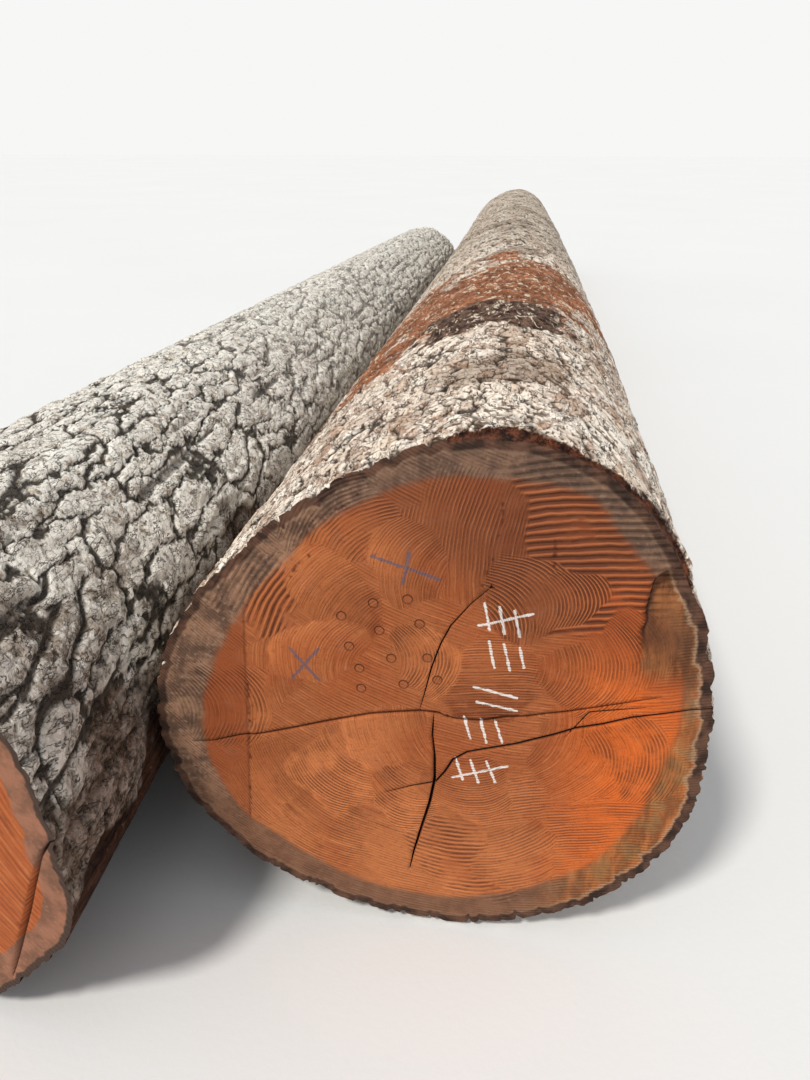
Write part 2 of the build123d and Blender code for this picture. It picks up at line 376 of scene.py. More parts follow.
def right_bark(t, direction, furrow):
    """Depth of the scaly bark under the CAD skin, and what its colours need."""
    a = np.mod(direction, TURN) / TURN
    angle = np.degrees(np.mod(direction + math.pi, TURN) - math.pi)
    rag = 0.30 * layered_cloud(a * 110, t / 0.03, 110, 100)
    sway = 0.7 * layered_cloud(a * 24, t / 0.14, 24, 101) + rag
    drift = 0.7 * layered_cloud(a * 24, t / 0.14, 24, 102) + rag
    big, own, _ = plates(a * 48 + sway, t / 0.20 + drift, 48, 103)
    small, _, _ = plates(a * 120 + sway * 2, t / 0.085 + drift * 2, 120, 104)
    long, _, _ = plates(a * 18 + sway, t / 0.7 + drift * 0.3, 18, 105)
    crack = 1.0 - blend_in(big, 0.0, 0.2)
    fine = 1.0 - blend_in(small, 0.0, 0.3)
    fissure = 1.0 - blend_in(long, 0.0, 0.055)
    rough = layered_cloud(a * 90, t / 0.07, 90, 106, 4)
    flakes = 0.5 + 0.55 * layered_cloud(a * 40 + sway, t / 0.18 + drift, 40, 109, 4)
    steps, foot = terraces(flakes, 5)
    sheet = layered_cloud(a * 11, t / 0.35, 11, 107)
    bare = blend_in(layered_cloud(a * 9, t / 0.5, 9, 108), 0.28, 0.42)
    sink = 0.001 + 0.007 * crack + 0.004 * own + 0.0015 * fine + 0.006 * fissure
    sink = sink + 0.012 * (1 - steps) + 0.0012 * (1 + rough) + 0.003 * (1 + sheet) + 0.5 * furrow
    lumpy = (1 - blend_in(np.abs(angle + 5), 35, 50)) * (1 - blend_in(t, 0.5, 0.9))
    sink = sink + 0.010 * lumpy * blend_in(layered_cloud(a * 44, t / 0.10, 44, 115), -0.2, 0.4)
    # The torn places on the near rim, and what lies on the log's back
    near = 1.0 - blend_in(t, 0.1, 0.2)
    ragged = layered_cloud(a * 60, 0 * t, 60, 110, 4)
    length = 0.022 + 0.034 * blend_in(angle, 74, 79) + 0.040 * (1 - blend_in(angle, 50, 58))
    length = length * blend_in(angle + 3 * ragged, 33, 40) * (1 - blend_in(angle + 3 * ragged, 85, 90))
    torn = near * (1 - blend_in(t + 0.016 * ragged - length, -0.006, 0.004))
    torn = np.where(length > 0.004, torn, 0.0)
    sink = np.maximum(sink, torn * (0.024 + 0.002 * rough))
    upward = np.abs(angle - 92)
    patchy = layered_cloud(a * 26, t / 0.16, 26, 112, 4)
    fray = layered_cloud(a * 70, t / 0.06, 70, 113, 4)
    soil = blend_in(68 - upward + 40 * patchy, 0, 34)
    start = 1.3 + 0.5 * blend_in(80 - angle, 0, 50) - 0.25 * blend_in(angle, 100, 140)
    soil = soil * blend_in(t - start + 0.45 * patchy, -0.5, 0.5)
    soil = soil * (1 - blend_in(t + 0.7 * patchy, 2.1, 3.3))
    dark = blend_in(25 - np.abs(angle - 88) + 12 * patchy + 14 * fray, 0, 14)
    dark = dark * blend_in(t + 0.05 * patchy + 0.10 * fray, 1.00, 1.12)
    dark = dark * (1 - blend_in(t + 0.05 * patchy + 0.10 * fray, 1.40, 1.52))
    sink = sink * (1 - 0.4 * soil)
    return np.clip(sink, 0.0005, 0.03), {
        "mask_a": (np.maximum(crack, fissure), own, fine),
        "mask_b": (soil, dark, torn),
        "mask_c": (foot, bare, blend_in(t, 2.6, 4.2)),
    }


def left_bark(t, direction, furrow):
    """Depth of the ridged bark under the CAD skin, and what its colours need."""
    a = np.mod(direction, TURN) / TURN
    angle = np.degrees(np.mod(direction + math.pi, TURN) - math.pi)
    rag = 0.22 * layered_cloud(a * 100, t / 0.035, 100, 200)
    sway = 0.8 * layered_cloud(a * 14, t / 0.22, 14, 201) + rag
    drift = 0.6 * layered_cloud(a * 14, t / 0.22, 14, 202) + rag
    big, own, _ = plates(a * 36 + sway, t / 0.30 + drift, 36, 203)
    cross, _, _ = plates(a * 30 + sway, t / 0.12 + drift, 30, 208)
    small, _, _ = plates(a * 95 + sway * 2, t / 0.055 + drift * 2, 95, 204)
    crack = 1.0 - blend_in(big, 0.02, 0.26)
    thin = 1.0 - blend_in(cross, 0.0, 0.13)
    fine = 1.0 - blend_in(small, 0.0, 0.28)
    rough = layered_cloud(a * 80, t / 0.045, 80, 206, 4)
    flakes = 0.5 + 0.55 * layered_cloud(a * 30 + sway, t / 0.11 + drift, 30, 209, 4)
    steps, foot = terraces(flakes, 4)
    patchy = layered_cloud(a * 20, t / 0.25, 20, 212, 4)
    lower = blend_in(angle + 12 * patchy, -85, -75)
    stripped = lower * (1 - blend_in(angle + 26 * patchy, -22, -8))
    stripped = stripped * (1 - blend_in(t + 0.4 * patchy, 1.3, 1.8))
    # The lower right flank near the cut, painted dull brown: partly the bark's own colour, partly painted shade.
    brown = lower * (1 - blend_in(angle + 22 * patchy, 2, 26)) * (1 - blend_in(t + 0.5 * patchy, 0.9, 1.6))
    pale = blend_in(t + 0.5 * patchy, -0.1, 1.1) * (1 - 0.5 * blend_in(np.abs(angle - 100), 60, 130))
    streak = layered_cloud(a * 150, t / 0.3, 150, 214, 3)
    furrow = furrow * blend_in(layered_cloud(a * 40, t / 0.22, 40, 216), -0.25, 0.25)
    crack = np.maximum(crack, 0.8 * blend_in(furrow, 0.004, 0.010))
    sink = 0.001 + 0.008 * crack + 0.004 * thin + 0.003 * own + 0.002 * fine
    sink = sink + 0.008 * (1 - steps) + 0.002 * (1 + rough) + 0.7 * furrow
    bare = 0.013 + 0.004 * streak + 0.5 * furrow
    sink = sink * (1 - stripped) + bare * stripped
    return np.clip(sink, 0.0005, 0.034), {
        "mask_a": (np.maximum(crack, 0.8 * thin), own, fine),
        "mask_b": (foot, stripped, blend_in(streak, -1, 1)),
        "mask_c": (brown, pale, blend_in(t, 1.2, 3.0)),
    }


def write_mesh(name, points, corners, sizes, masks):
    """A mesh object from arrays; masks are three numbers at each point."""
    mesh = bpy.data.meshes.new(name)
    mesh.vertices.add(len(points))
    mesh.vertices.foreach_set("co", np.asarray(points, dtype=np.float32).ravel())
    mesh.loops.add(len(corners))
    mesh.loops.foreach_set("vertex_index", np.asarray(corners, dtype=np.int32))
    mesh.polygons.add(len(sizes))
    starts = np.concatenate(([0], np.cumsum(sizes)[:-1]))
    mesh.polygons.foreach_set("loop_start", np.asarray(starts, dtype=np.int32))
    mesh.polygons.foreach_set("loop_total", np.asarray(sizes, dtype=np.int32))
    mesh.update(calc_edges=True)
    for mask_name, parts in masks.items():
        layer = mesh.attributes.new(mask_name, "FLOAT_COLOR", "POINT")
        block = np.ones((len(points), 4), dtype=np.float32)
        for k, part in enumerate(parts):
            block[:, k] = np.ravel(part)
        layer.data.foreach_set("color", block.ravel())
    for polygon in mesh.polygons:
        polygon.use_smooth = True
    piece = bpy.data.objects.new(name, mesh)
    bpy.context.scene.collection.objects.link(piece)
    return piece


def bark_piece(name, bole, bark, relief, start, end, rows, columns):
    """One length of bark; rows are closer together towards the near end."""
    row = np.linspace(0.0, 1.0, rows)
    t = (start + 1.5) * ((end + 1.5) / (start + 1.5)) ** row - 1.5
    direction = np.arange(columns) * TURN / columns
    t, direction = np.meshgrid(t, direction, indexing="ij")
    sink, masks = bark(t, direction, bole.furrow(t, direction))
    x, y, z = bole.skin(t, direction, sink)
    run, rise = bole.near.flat(x, z)
    y = y + relief(run / MM, rise / MM) * np.clip(1 - t / 0.12, 0.0, 1.0)
    points = np.stack([x, y, z], axis=-1).reshape(-1, 3)
    i = np.arange(rows - 1)[:, None] * columns
    j = np.arange(columns)[None, :]
    k = (j + 1) % columns
    quads = np.stack([i + j, i + columns + j, i + columns + k, i + k], axis=-1)
    sizes = np.full((rows - 1) * columns, 4)
    piece = write_mesh(name, points, quads.ravel(), sizes, masks)
    rim = points[:columns] if start <= 0.0 else None
    last = points[-columns:]
    return piece, rim, last


def face_piece(name, cut, rim, relief, splits, lines, spacing, masks_at):
    """A sawn face inside a rim of points, with real grooves where the wood split."""
    run, rise = cut.flat(rim[:, 0], rim[:, 2])
    outline = np.stack([run / MM, rise / MM], axis=-1)
    reach = np.abs(outline).max() + spacing
    steps = np.arange(-reach, reach, spacing)
    gu, gv = np.meshgrid(steps, steps, indexing="ij")
    cells_u, cells_v = np.meshgrid(np.arange(len(steps)), np.arange(len(steps)), indexing="ij")
    gu = gu + spacing * 0.7 * (scatter(cells_u, cells_v, 401) - 0.5)
    gv = gv + spacing * 0.7 * (scatter(cells_u, cells_v, 402) - 0.5)
    gu = gu.ravel()
    gv = gv.ravel()
    angles = np.arctan2(outline[:, 1], outline[:, 0])
    order = np.argsort(angles)
    edge = np.hypot(outline[:, 0], outline[:, 1])
    limit = np.interp(
        np.arctan2(gv, gu), angles[order], edge[order], period=TURN
    )
    inner = np.hypot(gu, gv) < limit - spacing * 0.6
    for line, width, _ in splits:
        gap, _ = along_line(gu, gv, line)
        inner &= gap > width / 2 + spacing * 0.3
    points = [Vector(p) for p in outline]
    edges = [(k, (k + 1) % len(outline)) for k in range(len(outline))]
    for u, v in zip(gu[inner], gv[inner]):
        points.append(Vector((u, v)))
    for line, width, _ in splits:
        add_split(points, edges, line, width, angles[order], edge[order])
    out_points, _, out_faces, _, _, _ = delaunay_2d_cdt(points, edges, [], 1, 1e-4)
    flat = np.array([tuple(p) for p in out_points])
    u = flat[:, 0]
    v = flat[:, 1]
    depth = relief(u, v)
    groove, inside = split_depth(u, v, splits)
    depth = depth + groove
    line_depth, line_inside = split_depth(u, v, lines)
    depth = depth + line_depth
    space = cut.space(u * MM, v * MM, depth)
    corners = [k for f in out_faces for k in f]
    sizes = [len(f) for f in out_faces]
    limit = np.interp(np.arctan2(v, u), angles[order], edge[order], period=TURN)
    masks = masks_at(u, v, limit - np.hypot(u, v), inside, line_inside)
    return write_mesh(name, space, corners, sizes, masks)


def add_split(points, edges, line, width, angles, edge):
    """The lips and the floor line of a split, cut off at the rim."""
    lengths = [math.dist(a, b) for a, b in zip(line, line[1:])]
    whole = sum(lengths)
    for side in (-1, 0, 1):
        row = []
        done = 0.0
        for (au, av), (bu, bv), length in zip(line, line[1:], lengths):
            steps = max(1, int(length / 7.0))
            for k in range(steps):
                share = k / steps
                row.append((au + share * (bu - au), av + share * (bv - av), (done + share * length) / whole,
                            -(bv - av) / length, (bu - au) / length))
            done += length
        previous = None
        for u, v, share, nu, nv in row:
            taper = max(0.1, (4.0 * share * (1.0 - share)) ** 0.5)
            pu = u + side * width / 2 * taper * nu
            pv = v + side * width / 2 * taper * nv
            limit = np.interp(math.atan2(pv, pu), angles, edge, period=TURN)
            if math.hypot(pu, pv) > limit - 1.5:
                previous = None
                continue
            points.append(Vector((pu, pv)))
            if previous is not None:
                edges.append((previous, len(points) - 1))
            previous = len(points) - 1


# Where the heartwood of the right face ends: direction in degrees, distance in millimetres
HEART_EDGE = [
    (3, 464), (20, 477), (33, 488), (44, 511), (50, 516), (54, 525), (58, 542), (63, 548), (69, 537),
    (77, 521), (82, 515), (88, 511), (96, 499), (101, 489), (109, 473), (119, 462), (129, 444),
    (140, 441), (149, 445), (161, 452), (169, 466), (178, 482), (186, 496), (196, 506), (205, 509),
    (215, 504), (224, 480), (235, 474), (248, 472), (263, 468), (274, 470), (288, 464), (301, 464),
    (314, 468), (326, 460), (338, 454), (351, 447),
]


def right_face_masks(u, v, to_rim, inside, line_inside):
    angle = np.degrees(np.arctan2(v, u)) % 360
    edge = np.interp(angle, [a for a, _ in HEART_EDGE], [r for _, r in HEART_EDGE], period=360)
    sap = blend_in(np.hypot(u, v) - edge, -16, 16)
    strip = blend_in(STRIP_LINE + STRIP_LEAN * v - u, -6.0, 6.0)
    gouge = blend_in(gouge_inside(u, v), -4.0, 26.0) * blend_in(gouge_share(v), 0.0, 0.85)
    rim = 1 - blend_in(to_rim, 0, 40)
    upper = blend_in(0.6 * u + v, 260, 420)
    return {
        "mask_a": (sap, strip, gouge),
        "mask_b": (inside, line_inside, rim),
        "mask_c": (upper, blend_in(u, 180, 360) * (1 - blend_in(v, 290, 380)), blend_in(-v, 150, 350)),
    }


def left_face_masks(u, v, to_rim, inside, line_inside):
    sap = 1 - blend_in(to_rim, 55, 70)
    rim = 1 - blend_in(to_rim, 0, 40)
    nothing = 0 * u
    return {
        "mask_a": (sap, nothing, nothing),
        "mask_b": (inside, line_inside, rim),
        "mask_c": (nothing, nothing, nothing),
    }


# Shader nodes


class Paint:
    """A material with short names for its nodes."""

    def __init__(self, name):
        self.material = bpy.data.materials.new(name)
        self.material.use_nodes = True
        self.tree = self.material.node_tree
        self.shader = self.tree.nodes["Principled BSDF"]
        self.place = self.node("ShaderNodeTexCoord").outputs["Object"]

    def node(self, kind):
        return self.tree.nodes.new(kind)

    def give(self, socket, value):
        if isinstance(value, bpy.types.NodeSocket):
            self.tree.links.new(value, socket)
        elif isinstance(value, tuple) and len(value) == 3 and socket.type == "RGBA":
            socket.default_value = (*value, 1.0)
        else:
            socket.default_value = value

    def sum(self, kind, a, b=0.0, clamp=False):
        node = self.node("ShaderNodeMath")
        node.operation = kind
        node.use_clamp = clamp
        self.give(node.inputs[0], a)
        self.give(node.inputs[1], b)
        return node.outputs[0]

    def vector(self, kind, a, b=(0.0, 0.0, 0.0), scale=None):
        node = self.node("ShaderNodeVectorMath")
        node.operation = kind
        self.give(node.inputs[0], a)
        if kind not in ("SCALE", "LENGTH"):
            self.give(node.inputs[1], b)
        if scale is not None:
            self.give(node.inputs["Scale"], scale)
        number = kind in ("DISTANCE", "LENGTH", "DOT_PRODUCT")
        return node.outputs["Value"] if number else node.outputs["Vector"]

    def mix(self, share, a, b, kind="MIX"):
        node = self.node("ShaderNodeMix")
        node.data_type = "RGBA"
        node.blend_type = kind
        self.give(node.inputs[0], share)
        self.give(node.inputs[6], a)
        self.give(node.inputs[7], b)
        return node.outputs[2]

    def blend(self, share, a, b):
        node = self.node("ShaderNodeMix")
        self.give(node.inputs[0], share)
        self.give(node.inputs[2], a)
        self.give(node.inputs[3], b)
        return node.outputs[0]

    def rise(self, value, low, high, start=0.0, end=1.0):
        node = self.node("ShaderNodeMapRange")
        node.interpolation_type = "SMOOTHSTEP"
        self.give(node.inputs[0], value)
        self.give(node.inputs[1], low)
        self.give(node.inputs[2], high)
        self.give(node.inputs[3], start)
        self.give(node.inputs[4], end)
        return node.outputs[0]

    def noise(self, place, scale, detail=4.0, rough=0.55, distortion=0.0):
        node = self.node("ShaderNodeTexNoise")
        self.give(node.inputs["Vector"], place)
        self.give(node.inputs["Scale"], scale)
        self.give(node.inputs["Detail"], detail)
        self.give(node.inputs["Roughness"], rough)
        self.give(node.inputs["Distortion"], distortion)
        return node.outputs[0]

    def stretch(self, place, scale):
        return self.vector("MULTIPLY", place, scale)

    def masks(self, name):
        node = self.node("ShaderNodeAttribute")
        node.attribute_name = name
        split = self.node("ShaderNodeSeparateColor")
        self.tree.links.new(node.outputs["Color"], split.inputs[0])
        return split.outputs[0], split.outputs[1], split.outputs[2]

    def finish(self, colour, roughness, height, distance, specular=0.25):
        self.give(self.shader.inputs["Base Color"], colour)
        self.give(self.shader.inputs["Roughness"], roughness)
        self.shader.inputs["Specular IOR Level"].default_value = specular
        bump = self.node("ShaderNodeBump")
        bump.inputs["Strength"].default_value = 1.0
        bump.inputs["Distance"].default_value = distance
        self.give(bump.inputs["Height"], height)
        self.tree.links.new(bump.outputs[0], self.shader.inputs["Normal"])
        return self.material


def flaky(p, squash, scale, count):
    """Ragged flakes: their lower edges, where the barks paint shadow, and a height that drops at each edge."""
    field = p.noise(p.stretch(p.place, squash), scale, 6.0, 0.62, 0.35)
    level = p.sum("MULTIPLY", field, count)
    part = p.sum("FRACT", level)
    edge = p.rise(part, 0.15, 0.02)
    own = p.sum("FRACT", p.sum("MULTIPLY", p.sum("FLOOR", level), 0.37))
    return edge, part, own


def scaly_bark():
    """Thin flaky bark: pale scales, dark cracks that are partly painted shade, painted shadow under the flakes,
    soil and leaf litter on top.
    """
    p = Paint("scaly_bark")
    crack, own, fine = p.masks("mask_a")
    soil, dark, torn = p.masks("mask_b")
    foot, bare, far = p.masks("mask_c")
    grain = p.noise(p.stretch(p.place, (1.0, 0.55, 1.0)), 42.0, 6.0, 0.68)
    blotch = p.noise(p.stretch(p.place, (1.0, 0.6, 1.0)), 10.0, 6.0, 0.65)
    broad = p.noise(p.place, 1.7, 3.0, 0.55)
    speck = p.noise(p.place, 170.0, 3.0, 0.65)
    edge, part, flake = flaky(p, (1.0, 0.38, 1.0), 9.0, 11.0)
    chip, chip_part, _ = flaky(p, (1.0, 0.38, 1.0), 24.0, 8.0)
    scale = p.mix(own, (0.48, 0.33, 0.235), (0.94, 0.77, 0.61))
    scale = p.mix(p.rise(flake, 0.30, 0.70, 0.0, 0.8), scale, (1.0, 0.88, 0.74))
    scale = p.mix(p.rise(blotch, 0.50, 0.62, 0.0, 0.9), scale, (1.0, 0.91, 0.79))
    scale = p.mix(p.rise(blotch, 0.42, 0.32, 0.0, 0.5), scale, (0.44, 0.27, 0.17))
    scale = p.mix(p.rise(grain, 0.56, 0.68, 0.0, 0.6), scale, (1.0, 0.91, 0.79))
    scale = p.mix(p.rise(grain, 0.45, 0.35, 0.0, 0.9), scale, (0.17, 0.10, 0.062))
    scale = p.mix(p.rise(broad, 0.54, 0.74, 0.0, 0.25), scale, (0.42, 0.27, 0.18))
    tan = p.noise(p.stretch(p.place, (1.0, 0.5, 1.0)), 13.0, 5.0, 0.6, 1.1)
    scale = p.mix(p.rise(tan, 0.55, 0.62, 0.0, 0.6), scale, (0.47, 0.26, 0.16))
    scale = p.mix(p.sum("MULTIPLY", bare, 0.6), scale, (0.27, 0.17, 0.105))
    scale = p.mix(p.sum("MULTIPLY", far, 0.45), scale, (0.44, 0.385, 0.30))
    # Painted shadow under the edges of the small and large flakes, and painted shade at the foot of each terrace
    # step.
    scale = p.mix(p.sum("MULTIPLY", chip, 0.35), scale, (0.14, 0.080, 0.050))
    scale = p.mix(p.sum("MULTIPLY", edge, 0.92), scale, (0.055, 0.030, 0.019))
    scale = p.mix(p.rise(foot, 0.35, 0.9, 0.0, 0.85), scale, (0.10, 0.058, 0.036))
    # Darker cracks: partly the cracks' own darker bark, partly painted shade.
    scale = p.mix(p.sum("MULTIPLY", p.rise(fine, 0.4, 1.0), 0.45), scale, (0.13, 0.078, 0.05))
    scale = p.mix(p.rise(crack, 0.25, 0.95, 0.0, 0.92), scale, (0.030, 0.018, 0.012))
    dirt = p.mix(p.rise(blotch, 0.35, 0.65), (0.20, 0.070, 0.030), (0.46, 0.175, 0.082))
    dirt = p.mix(p.rise(speck, 0.55, 0.7), dirt, (0.56, 0.31, 0.18))
    litter = p.noise(p.stretch(p.place, (1.0, 0.4, 1.0)), 24.0, 5.0, 0.7, 1.6)
    dirt = p.mix(p.rise(litter, 0.55, 0.60, 0.0, 0.9), dirt, (0.80, 0.66, 0.48))
    dirt = p.mix(p.rise(litter, 0.44, 0.40, 0.0, 0.8), dirt, (0.10, 0.050, 0.030))
    # On the soil: darker in the cracks (partly their own colour, partly painted shade), and painted shade at the
    # foot of each step.
    dirt = p.mix(p.rise(crack, 0.4, 1.0, 0.0, 0.7), dirt, (0.10, 0.045, 0.025))
    dirt = p.mix(p.rise(foot, 0.5, 0.95, 0.0, 0.5), dirt, (0.14, 0.06, 0.03))
    spread = p.sum("ADD", p.sum("MULTIPLY", grain, 1.1), p.sum("MULTIPLY", blotch, 1.7))
    scale = p.mix(p.rise(p.sum("ADD", soil, spread), 1.80, 2.02), scale, dirt)
    under = p.mix(p.rise(grain, 0.40, 0.60), (0.035, 0.018, 0.013), (0.19, 0.11, 0.075))
    under = p.mix(p.rise(litter, 0.57, 0.61, 0.0, 0.9), under, (0.80, 0.68, 0.52))
    scale = p.mix(p.rise(p.sum("ADD", dark, p.sum("MULTIPLY", grain, 0.9)), 0.78, 1.0), scale, under)
    tear = p.mix(p.rise(grain, 0.38, 0.62), (0.018, 0.007, 0.005), (0.15, 0.050, 0.024))
    tear = p.mix(p.rise(speck, 0.58, 0.72, 0.0, 0.6), tear, (0.24, 0.10, 0.05))
    scale = p.mix(p.rise(torn, 0.3, 0.7), scale, tear)
    height = p.sum("ADD", p.sum("MULTIPLY", grain, 0.7), p.sum("MULTIPLY", speck, 0.3))
    height = p.sum("ADD", height, p.sum("MULTIPLY", p.rise(part, 0.0, 0.18), 0.65))
    height = p.sum("ADD", height, p.sum("MULTIPLY", p.rise(chip_part, 0.0, 0.2), 0.3))
    height = p.sum("ADD", height, p.sum("MULTIPLY", blotch, 0.5))
    return p.finish(scale, 0.9, height, 0.007, 0.12)


def ridged_bark():
    """Thick bark in long plates between deep furrows."""
    p = Paint("ridged_bark")
    crack, own, fine = p.masks("mask_a")
    foot, bare, streak = p.masks("mask_b")
    brown, pale, far = p.masks("mask_c")
    grain = p.noise(p.place, 32.0, 6.0, 0.66)
    blotch = p.noise(p.place, 8.0, 6.0, 0.65)
    speck = p.noise(p.place, 150.0, 3.0, 0.65)
    edge, part, flake = flaky(p, (1.0, 0.45, 1.0), 7.0, 12.0)
    chip, chip_part, _ = flaky(p, (1.0, 0.45, 1.0), 19.0, 8.0)
    top = p.mix(own, (0.35, 0.28, 0.22), (0.62, 0.53, 0.44))
    top = p.mix(p.rise(flake, 0.3, 0.75), top, (0.74, 0.66, 0.56))
    top = p.mix(p.rise(blotch, 0.48, 0.60), top, (0.95, 0.88, 0.77))
    top = p.mix(p.rise(grain, 0.52, 0.60, 0.0, 0.95), top, (1.0, 0.93, 0.83))
    top = p.mix(p.rise(grain, 0.45, 0.36, 0.0, 0.95), top, (0.11, 0.080, 0.058))
    top = p.mix(p.rise(blotch, 0.40, 0.28, 0.0, 0.7), top, (0.20, 0.125, 0.085))
    # Painted shade at the foot of each terrace step.
    top = p.mix(p.sum("MULTIPLY", foot, 0.4), top, (0.13, 0.095, 0.072))
    # Darker small cracks: partly their own darker bark, partly painted shade.
    top = p.mix(p.sum("MULTIPLY", p.rise(fine, 0.35, 1.0), 0.45), top, (0.085, 0.060, 0.045))
    chalky = p.mix(p.rise(grain, 0.36, 0.47), (0.66, 0.55, 0.43), (1.0, 0.95, 0.85))
    top = p.mix(p.sum("MULTIPLY", pale, p.rise(blotch, 0.34, 0.46, 0.5, 0.95)), top, chalky)
    top = p.mix(p.rise(pale, 0.5, 0.0, 0.0, 0.3), top, (0.17, 0.12, 0.085))
    # Painted shadow under the edges of the small and large flakes.
    top = p.mix(p.sum("MULTIPLY", chip, 0.32), top, (0.13, 0.092, 0.065))
    top = p.mix(p.sum("MULTIPLY", edge, 0.75), top, (0.055, 0.037, 0.027))
    # Dark furrows and cracks: partly the furrows' own dark bark, partly painted shade.
    furrow_dark_and_shade = p.sum("ADD", crack, p.sum("MULTIPLY", p.sum("SUBTRACT", grain, 0.5), 0.8))
    furrow_dark_and_shade = p.sum("MULTIPLY", p.rise(furrow_dark_and_shade, 0.45, 0.95), p.rise(far, 0.0, 1.0, 0.95, 0.65))
    top = p.mix(furrow_dark_and_shade, top, (0.036, 0.025, 0.018))
    # Lower right flank near the cut: partly the bark's own dull brown, partly painted shade.
    dull_brown_and_shade = p.mix(p.rise(grain, 0.42, 0.60), (0.055, 0.032, 0.021), (0.26, 0.18, 0.13))
    top = p.mix(p.rise(p.sum("ADD", brown, p.sum("MULTIPLY", blotch, 0.8)), 0.78, 1.10, 0.0, 0.75), top, dull_brown_and_shade)
    fibre = p.noise(p.stretch(p.place, (70.0, 5.0, 70.0)), 1.0, 5.0, 0.65)
    raw = p.mix(p.rise(fibre, 0.35, 0.65), (0.016, 0.008, 0.006), (0.085, 0.034, 0.018))
    raw = p.mix(p.rise(grain, 0.60, 0.70), raw, (0.22, 0.13, 0.085))
    top = p.mix(p.rise(p.sum("ADD", bare, p.sum("MULTIPLY", grain, 0.4)), 0.55, 0.8), top, raw)
    height = p.sum("ADD", p.sum("MULTIPLY", grain, 0.9), p.sum("MULTIPLY", speck, 0.3))
    height = p.sum("ADD", height, p.sum("MULTIPLY", p.rise(part, 0.0, 0.18), 0.8))
    height = p.sum("ADD", height, p.sum("MULTIPLY", p.rise(chip_part, 0.0, 0.2), 0.35))
    height = p.sum("ADD", height, p.sum("MULTIPLY", blotch, 0.6))
    return p.finish(top, 0.92, height, 0.014, 0.10)


# Passes of the saw on the right face: middle and reach in millimetres, the side to which
# the arcs bulge in degrees, their radius, their spacing, lightness, and how deep they are
SAW_PASSES = [
    (0, 0, 2500, 255, 900, 7, 0.46, 0.3),
    (270, 400, 215, 96, 2500, 15, 0.16, 1.6),
    (45, 390, 125, 172, 500, 7, 0.40, 0.5),
    (-190, 400, 105, 135, 170, 8, 0.58, 0.6),
    (-70, 330, 80, 160, 120, 6, 0.50, 0.4),
    (-338, 240, 95, 150, 900, 12, 0.55, 1.0),
    (-345, 60, 90, 185, 300, 6, 0.50, 0.3),
    (-438, -15, 105, 10, 90, 9, 0.40, 0.7),
    (-208, 266, 95, 140, 140, 6, 0.48, 0.35),
    (-240, 130, 85, 165, 120, 6, 0.70, 0.3),
    (-327, -207, 120, 215, 320, 6, 0.58, 0.45),
    (-240, -300, 110, 240, 260, 7, 0.46, 0.5),
    (-196, -152, 100, 235, 120, 7, 0.90, 0.7),
    (-90, -60, 90, 200, 240, 6, 0.66, 0.3),
    (76, -345, 125, 275, 260, 11, 0.46, 0.8),
    (279, -245, 180, 100, 1500, 7, 0.56, 0.6),
    (180, -330, 90, 300, 200, 8, 0.44, 0.5),
    (-62, -189, 75, 250, 90, 7, 0.72, 0.7),
    (70, -165, 84, 275, 110, 6, 0.52, 0.5),
    (288, -63, 125, 340, 140, 6, 0.52, 0.25),
    (390, -60, 90, 10, 120, 7, 0.66, 0.7),
    (100, 88, 92, 95, 1500, 6, 0.34, 0.5),
    (360, 170, 90, 20, 120, 6, 0.34, 0.4),
    (294, 131, 95, 0, 90, 7, 0.52, 0.6),
    (-21, 132, 72, 5, 66, 7, 0.74, 0.7),
    (172, 283, 84, 35, 80, 8, 0.42, 0.8),
    (231, 271, 62, 10, 62, 7, 0.62, 0.9),
]
# Chalk strokes of a plain tally, down one column of the right face
CHALK = [
    (80, 262, 92, 206), (108, 256, 120, 200), (136, 250, 148, 196), (72, 214, 170, 246),
    (92, 180, 104, 124), (120, 178, 134, 120), (150, 172, 160, 130),
    (66, 78, 150, 60), (74, 44, 152, 30),
    (50, 8, 64, -44), (82, 4, 96, -50), (112, 0, 128, -48),
    (36, -92, 52, -146), (66, -96, 84, -150), (98, -96, 118, -146), (30, -142, 140, -104),
]
CRAYON = [(-130, 345, -4, 304), (-60, 356, -72, 292), (-295, 137, -238, 68), (-238, 140, -292, 70)]
DENTS = [
    (-128, 248), (-63, 260), (-190, 216), (-117, 190), (-40, 209), (-176, 151), (-157, 103),
    (-94, 130), (-24, 136), (-154, 57), (-70, 73), (-4, 88),
]


def face_place(p, cut):
    """Across and up on a sawn face, in metres, as a vector for the nodes."""
    away = p.vector("SUBTRACT", p.place, tuple(cut.heart))
    run = p.vector("DOT_PRODUCT", away, tuple(cut.across))
    rise = p.vector("DOT_PRODUCT", away, tuple(cut.up))
    join = p.node("ShaderNodeCombineXYZ")
    p.give(join.inputs[0], run)
    p.give(join.inputs[1], rise)
    return join.outputs[0]


def stroke_gap(p, place, stroke):
    """Distance from place to a straight stroke."""
    au, av, bu, bv = (c * MM for c in stroke)
    away = p.vector("SUBTRACT", place, (au, av, 0.0))
    length = (bu - au) ** 2 + (bv - av) ** 2
    share = p.sum("DIVIDE", p.vector("DOT_PRODUCT", away, (bu - au, bv - av, 0.0)), length, True)
    nearest = p.vector("SCALE", (bu - au, bv - av, 0.0), scale=share)
    return p.vector("DISTANCE", away, nearest)


def shaken(p, place, shake, by):
    """A place moved a little, so that straight marks waver."""
    join = p.node("ShaderNodeCombineXYZ")
    p.give(join.inputs[0], p.sum("MULTIPLY", p.sum("SUBTRACT", shake, 0.5), by))
    p.give(join.inputs[1], p.sum("MULTIPLY", p.sum("SUBTRACT", shake, 0.4), -by))
    return p.vector("ADD", place, join.outputs[0])


